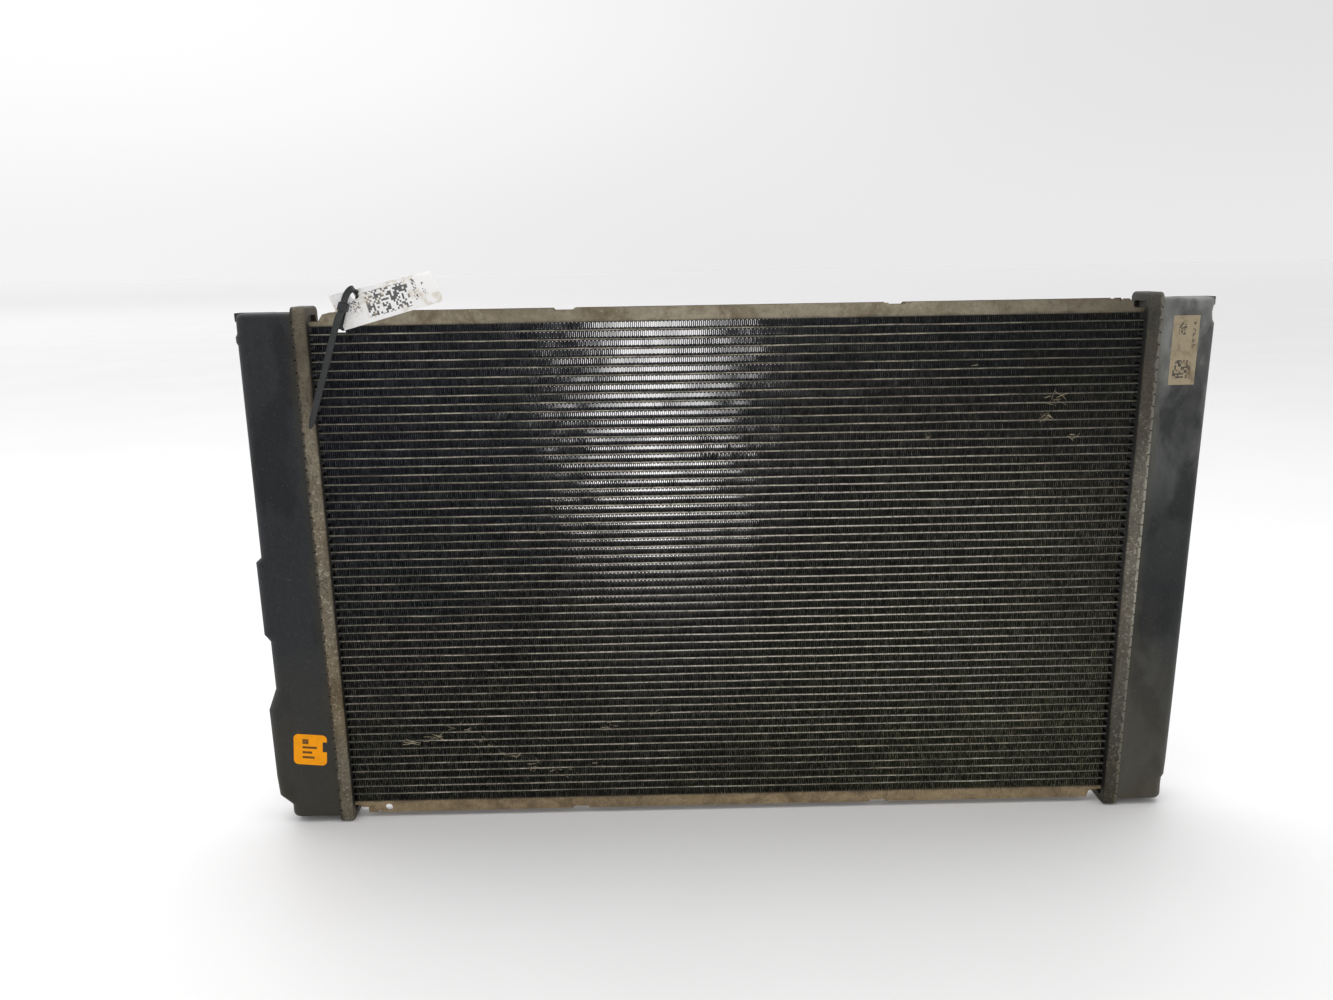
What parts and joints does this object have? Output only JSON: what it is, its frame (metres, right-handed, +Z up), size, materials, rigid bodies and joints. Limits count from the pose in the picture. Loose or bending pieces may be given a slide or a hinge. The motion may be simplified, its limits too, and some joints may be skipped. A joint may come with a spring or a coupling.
{
  "type": "car radiator",
  "caption": "Crossflow car radiator: an aluminium tube and fin core between crimped plastic side tanks, with rear hose necks, a drain plug, and a tag on a cable tie.",
  "frame": {"origin": "middle of the base: under the middle of the whole part's box, on the plane that the two header trays stand on", "axes": "+X to the right seen from the front, along the tubes; -Y to the front; +Z up"},
  "size_m": [0.7643, 0.08, 0.4556],
  "materials": {
    "tubes": "dull oxidised",
    "fins": "dirty, dark coated",
    "header_aluminium": "oxidised, stained",
    "plate_aluminium": "oxidised, stained",
    "gasket_rubber": "matte",
    "tank_plastic": "moulded, dusty",
    "drain_plastic": "moulded",
    "tie_nylon": "satin",
    "tag_paper": "matte, dirty",
    "sticker_orange": "semi-gloss",
    "label_beige": "matte"
  },
  "bodies": {
    "radiator": {"tube_bank_1": "tubes", "tube_bank_2": "tubes", "tube_bank_3": "tubes", "tube_bank_4": "tubes", "tube_bank_5": "tubes", "tube_bank_6": "tubes", "fin_bank_1": "fins", "fin_bank_2": "fins", "fin_bank_3": "fins", "fin_bank_4": "fins", "fin_bank_5": "fins", "fin_bank_6": "fins", "left_header": "header_aluminium", "left_gasket": "gasket_rubber", "left_tank": "tank_plastic", "right_header": "header_aluminium", "right_gasket": "gasket_rubber", "right_tank": "tank_plastic", "top_side_plate": "plate_aluminium", "bottom_side_plate": "plate_aluminium", "cable_tie": "tie_nylon", "orange_sticker": "sticker_orange", "inspection_label": "label_beige"},
    "drain_thread": {"drain_o_ring": "gasket_rubber"},
    "drain_grip": {"drain_plug": "drain_plastic"},
    "tag": {"paper_tag": "tag_paper"}
  },
  "joints": [
    {"name": "drain_travel", "type": "slide", "parent": "radiator", "child": "drain_thread", "axis": [0, 1, 0], "range_m": [0, 0.00452]},
    {"name": "drain_turn", "type": "hinge", "parent": "drain_thread", "child": "drain_grip", "pos_m": [0.352, 0, 0.0375], "axis": [0, 1, 0], "range_deg": [0, 540]},
    {"name": "tag_swing", "type": "hinge", "parent": "radiator", "child": "tag", "pos_m": [-0.2831, -0.0286, 0.43961], "axis": [0, 1, 0], "range_deg": [-10, 45]}
  ],
  "couplings": [
    {"joint": "drain_travel", "follows": "drain_turn", "m_per_rad": 0.00047746}
  ]
}
